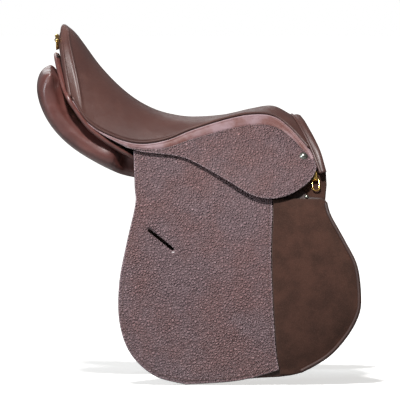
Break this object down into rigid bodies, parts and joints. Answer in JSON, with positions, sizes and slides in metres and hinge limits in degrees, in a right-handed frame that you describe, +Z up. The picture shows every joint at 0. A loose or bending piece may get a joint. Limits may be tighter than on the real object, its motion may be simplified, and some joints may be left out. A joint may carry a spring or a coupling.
{
  "type": "english saddle",
  "caption": "Leather horse saddle with deep seat, skirts, lifting flaps, padded knee fronts, panel, girth straps and stirrup bars.",
  "frame": {"origin": "centre plane of the saddle, midway between the rear of the panel and the front of the knee pads, level with the lowest point of the flaps", "axes": "+X towards the pommel, +Y to the rider's left, +Z up"},
  "size_m": [0.4911, 0.3772, 0.547],
  "materials": {
    "seat_leather": "smooth dark brown seat leather",
    "flap_leather": "pebbled red-brown leather",
    "panel_leather": "smooth glossy brown leather",
    "lining_leather": "plain brown lining leather",
    "strap_leather": "dark bridle leather",
    "suede": "dark brown suede",
    "foam": "seat foam",
    "webbing": "woven linen web",
    "beech": "laminated beech",
    "steel": "satin steel",
    "nickel": "polished nickel",
    "brass": "polished brass"
  },
  "bodies": {
    "saddle": {"tree": "beech", "head_plate": "steel", "gullet_plate": "steel", "spring_bar_left": "steel", "spring_bar_right": "steel", "straining_web": "webbing", "girth_web_front": "webbing", "girth_web_rear": "webbing", "tree_point_left": "beech", "tree_point_right": "beech", "seat_cover": "seat_leather", "seat_foam": "foam", "cantle_back": "seat_leather", "head_facing": "seat_leather", "facing_welt": "seat_leather", "seat_welt_left": "seat_leather", "seat_welt_right": "seat_leather", "skirt_top_left": "flap_leather", "skirt_top_right": "flap_leather", "panel_cushion_left": "panel_leather", "panel_cushion_right": "panel_leather", "gullet_lining": "panel_leather", "cantle_strip": "panel_leather", "panel_front_left": "lining_leather", "panel_front_right": "lining_leather", "stirrup_bar_left": "steel", "stirrup_bar_right": "steel", "saddle_nail_left": "nickel", "saddle_nail_right": "nickel", "front_dee_loop_left": "brass", "front_dee_loop_right": "brass", "rear_dee_loop_left": "brass", "rear_dee_loop_right": "brass"},
    "flap_left": {"flap_left": "flap_leather", "flap_lining_left": "lining_leather", "knee_pad_left": "suede", "knee_pad_nail_left": "nickel"},
    "skirt_left": {"skirt_lobe_left": "flap_leather"},
    "sweat_flap_left": {"sweat_flap_left": "lining_leather"},
    "girth_strap_rear_left": {"girth_strap_rear_left": "strap_leather"},
    "girth_strap_middle_left": {"girth_strap_middle_left": "strap_leather"},
    "girth_strap_front_left": {"girth_strap_front_left": "strap_leather"},
    "buckle_guard_left": {"buckle_guard_left": "lining_leather"},
    "bar_catch_left": {"bar_catch_left": "steel"},
    "front_dee_left": {"front_dee_left": "brass"},
    "rear_dee_left": {"rear_dee_left": "brass"},
    "flap_right": {"flap_right": "flap_leather", "flap_lining_right": "lining_leather", "knee_pad_right": "suede", "knee_pad_nail_right": "nickel"},
    "skirt_right": {"skirt_lobe_right": "flap_leather"},
    "sweat_flap_right": {"sweat_flap_right": "lining_leather"},
    "girth_strap_rear_right": {"girth_strap_rear_right": "strap_leather"},
    "girth_strap_middle_right": {"girth_strap_middle_right": "strap_leather"},
    "girth_strap_front_right": {"girth_strap_front_right": "strap_leather"},
    "buckle_guard_right": {"buckle_guard_right": "lining_leather"},
    "bar_catch_right": {"bar_catch_right": "steel"},
    "front_dee_right": {"front_dee_right": "brass"},
    "rear_dee_right": {"rear_dee_right": "brass"}
  },
  "joints": [
    {"name": "flap_lift_left", "type": "hinge", "parent": "saddle", "child": "flap_left", "pos_m": [-0.1, 0.13425, 0.36], "axis": [0.9863, -0.1107, -0.1219], "range_deg": [0, 85]},
    {"name": "skirt_lift_left", "type": "hinge", "parent": "flap_left", "child": "skirt_left", "pos_m": [-0.1, 0.13425, 0.36], "axis": [0.9863, -0.1107, -0.1219], "range_deg": [0, 60]},
    {"name": "sweat_flap_swing_left", "type": "hinge", "parent": "saddle", "child": "sweat_flap_left", "pos_m": [-0.084, 0.1244, 0.286], "axis": [0.9936, -0.1129, 0], "range_deg": [-12, 0]},
    {"name": "girth_strap_rear_swing_left", "type": "hinge", "parent": "saddle", "child": "girth_strap_rear_left", "pos_m": [-0.062, 0.11149, 0.343], "axis": [0, 1, 0], "range_deg": [-5, 5]},
    {"name": "girth_strap_middle_swing_left", "type": "hinge", "parent": "saddle", "child": "girth_strap_middle_left", "pos_m": [-0.01, 0.10235, 0.343], "axis": [0, 1, 0], "range_deg": [-5, 5]},
    {"name": "girth_strap_front_swing_left", "type": "hinge", "parent": "saddle", "child": "girth_strap_front_left", "pos_m": [0.042, 0.09322, 0.343], "axis": [0, 1, 0], "range_deg": [-5, 5]},
    {"name": "buckle_guard_slide_left", "type": "slide", "parent": "saddle", "child": "buckle_guard_left", "axis": [0, 0.3146, -0.9492], "range_m": [0, 0.012]},
    {"name": "bar_catch_turn_left", "type": "hinge", "parent": "saddle", "child": "bar_catch_left", "pos_m": [0.06552, 0.11295, 0.32147], "axis": [0.127, 0.8734, 0.4702], "range_deg": [0, 70]},
    {"name": "front_dee_swing_left", "type": "hinge", "parent": "saddle", "child": "front_dee_left", "pos_m": [0.1775, 0.10406, 0.309], "axis": [0.9908, -0.1355, 0], "range_deg": [0, 50]},
    {"name": "rear_dee_swing_left", "type": "hinge", "parent": "saddle", "child": "rear_dee_left", "pos_m": [-0.2182, 0.046, 0.521], "axis": [0, 1, 0], "range_deg": [0, 80]},
    {"name": "flap_lift_right", "type": "hinge", "parent": "saddle", "child": "flap_right", "pos_m": [-0.1, -0.13425, 0.36], "axis": [-0.9863, -0.1107, 0.1219], "range_deg": [0, 85]},
    {"name": "skirt_lift_right", "type": "hinge", "parent": "flap_right", "child": "skirt_right", "pos_m": [-0.1, -0.13425, 0.36], "axis": [-0.9863, -0.1107, 0.1219], "range_deg": [0, 60]},
    {"name": "sweat_flap_swing_right", "type": "hinge", "parent": "saddle", "child": "sweat_flap_right", "pos_m": [-0.084, -0.1244, 0.286], "axis": [-0.9936, -0.1129, 0], "range_deg": [-12, 0]},
    {"name": "girth_strap_rear_swing_right", "type": "hinge", "parent": "saddle", "child": "girth_strap_rear_right", "pos_m": [-0.062, -0.11149, 0.343], "axis": [0, 1, 0], "range_deg": [-5, 5]},
    {"name": "girth_strap_middle_swing_right", "type": "hinge", "parent": "saddle", "child": "girth_strap_middle_right", "pos_m": [-0.01, -0.10235, 0.343], "axis": [0, 1, 0], "range_deg": [-5, 5]},
    {"name": "girth_strap_front_swing_right", "type": "hinge", "parent": "saddle", "child": "girth_strap_front_right", "pos_m": [0.042, -0.09322, 0.343], "axis": [0, 1, 0], "range_deg": [-5, 5]},
    {"name": "buckle_guard_slide_right", "type": "slide", "parent": "saddle", "child": "buckle_guard_right", "axis": [0, -0.3146, -0.9492], "range_m": [0, 0.012]},
    {"name": "bar_catch_turn_right", "type": "hinge", "parent": "saddle", "child": "bar_catch_right", "pos_m": [0.06552, -0.11295, 0.32147], "axis": [-0.127, 0.8734, -0.4702], "range_deg": [0, 70]},
    {"name": "front_dee_swing_right", "type": "hinge", "parent": "saddle", "child": "front_dee_right", "pos_m": [0.1775, -0.10406, 0.309], "axis": [-0.9908, -0.1355, 0], "range_deg": [0, 50]},
    {"name": "rear_dee_swing_right", "type": "hinge", "parent": "saddle", "child": "rear_dee_right", "pos_m": [-0.2182, -0.046, 0.521], "axis": [0, 1, 0], "range_deg": [0, 80]}
  ]
}
